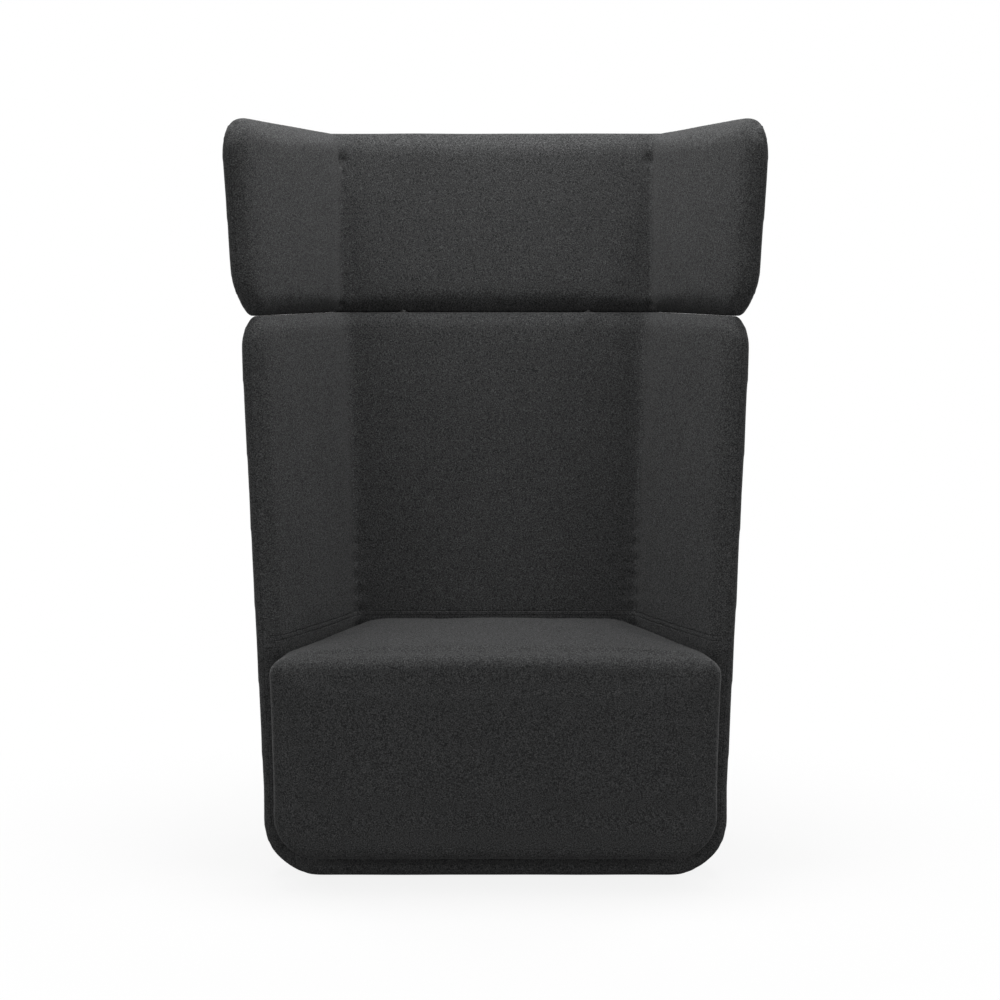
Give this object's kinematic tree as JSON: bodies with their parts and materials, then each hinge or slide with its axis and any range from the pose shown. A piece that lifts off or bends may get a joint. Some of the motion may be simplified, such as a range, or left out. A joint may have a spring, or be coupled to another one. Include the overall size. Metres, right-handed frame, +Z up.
{
  "type": "lounge chair",
  "caption": "Acoustic high back lounge chair: splayed wings, reclined back, deep seat block and a winged lift-off headrest, in dark grey wool felt.",
  "frame": {"origin": "on the floor, under the middle of the chair's bounding box", "axes": "+Z up, +Y to the rear, so the sitter looks along -Y, and +X to the viewer's right when looking at the chair from the front"},
  "size_m": [1.0056, 0.77, 1.384],
  "materials": {
    "wool_felt": "charcoal melange wool felt over thin padding",
    "foam": "open-cell cushion foam",
    "plywood": "unfinished birch plywood",
    "webbing": "rubberised elastic webbing",
    "dust_cloth": "black non-woven cloth",
    "black_plastic": "moulded matt black plastic",
    "clamp_plastic": "moulded glass-filled nylon",
    "spacer_rubber": "black rubber",
    "post_steel": "bright drawn steel tube",
    "zinc_steel": "zinc-plated steel"
  },
  "bodies": {
    "chair": {"shell_wrap": "plywood", "back_board": "plywood", "back_board_screws": "zinc_steel", "glides": "black_plastic", "outer_base": "wool_felt", "outer_wing_right": "wool_felt", "outer_wing_left": "wool_felt", "outer_back": "wool_felt", "base_liner": "wool_felt", "wing_liner_right": "wool_felt", "wing_liner_left": "wool_felt", "back_liner": "wool_felt", "inner_wing_right": "wool_felt", "inner_wing_left": "wool_felt", "inner_back": "wool_felt", "headrest_posts": "post_steel", "post_clamps": "clamp_plastic", "post_clamp_screws": "zinc_steel", "post_bezels": "black_plastic", "seat_cover": "wool_felt", "seat_front_board": "plywood", "seat_back_board": "plywood", "seat_side_board_right": "plywood", "seat_side_board_left": "plywood", "seat_tray": "plywood", "webbing_lengthwise": "webbing", "webbing_crosswise": "webbing", "seat_foam": "foam", "seat_bottom_cloth": "dust_cloth", "seat_spacers": "spacer_rubber", "seat_bolts": "zinc_steel", "tee_nuts": "zinc_steel"},
    "headrest": {"head_wing_board_right": "plywood", "head_wing_board_left": "plywood", "head_back_board": "plywood", "head_board_screws": "zinc_steel", "head_outer_wing_right": "wool_felt", "head_outer_wing_left": "wool_felt", "head_outer_back": "wool_felt", "head_inner_wing_right": "wool_felt", "head_inner_wing_left": "wool_felt", "head_inner_back": "wool_felt", "headrest_sleeves": "post_steel", "sleeve_clamps": "clamp_plastic", "sleeve_clamp_screws": "zinc_steel", "sleeve_bezels": "black_plastic"}
  },
  "joints": [
    {"name": "headrest_lift", "type": "slide", "parent": "chair", "child": "headrest", "axis": [0, 0.1908, 0.9816], "range_m": [0, 0.19]}
  ]
}
